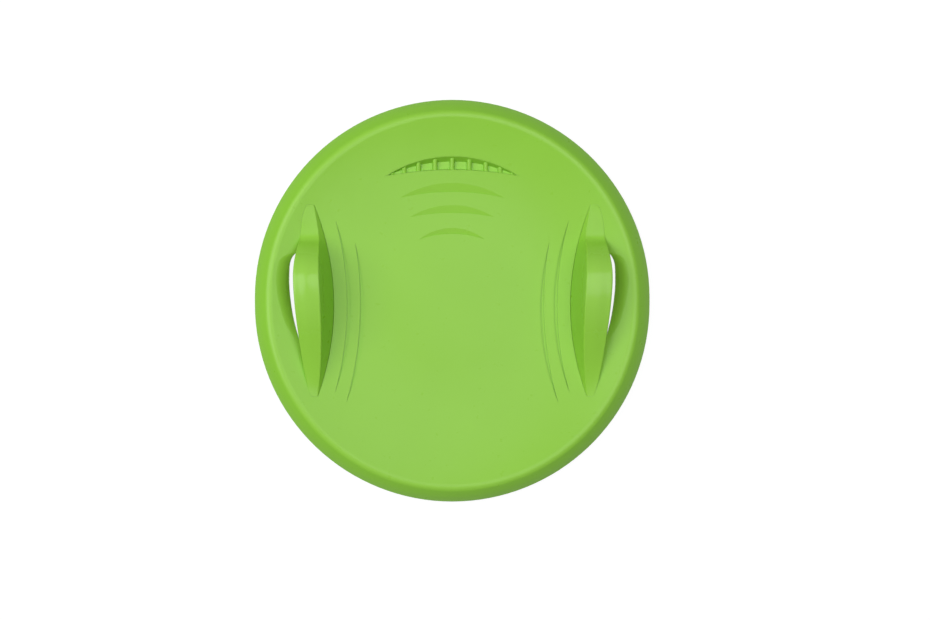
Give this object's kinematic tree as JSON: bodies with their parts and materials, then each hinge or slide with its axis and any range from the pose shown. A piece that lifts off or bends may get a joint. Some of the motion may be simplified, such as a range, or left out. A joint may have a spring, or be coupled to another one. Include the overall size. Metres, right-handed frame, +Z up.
{
  "type": "saucer sled",
  "caption": "Round dished saucer sled with a rolled rim, hooded hand grips over finger slots, arc grooves and a ribbed crescent.",
  "frame": {"origin": "centre of the flat underside, on the ground", "axes": "+Z up out of the dish, +Y to the sled's front where the ribbed crescent is, +X to the rider's right"},
  "size_m": [0.56, 0.57, 0.0674],
  "materials": {
    "green_plastic": "satin moulded polyethylene"
  },
  "bodies": {
    "root": {"pan": "green_plastic", "left_grip": "green_plastic", "right_grip": "green_plastic", "ribbed_crescent": "green_plastic"}
  },
  "joints": []
}
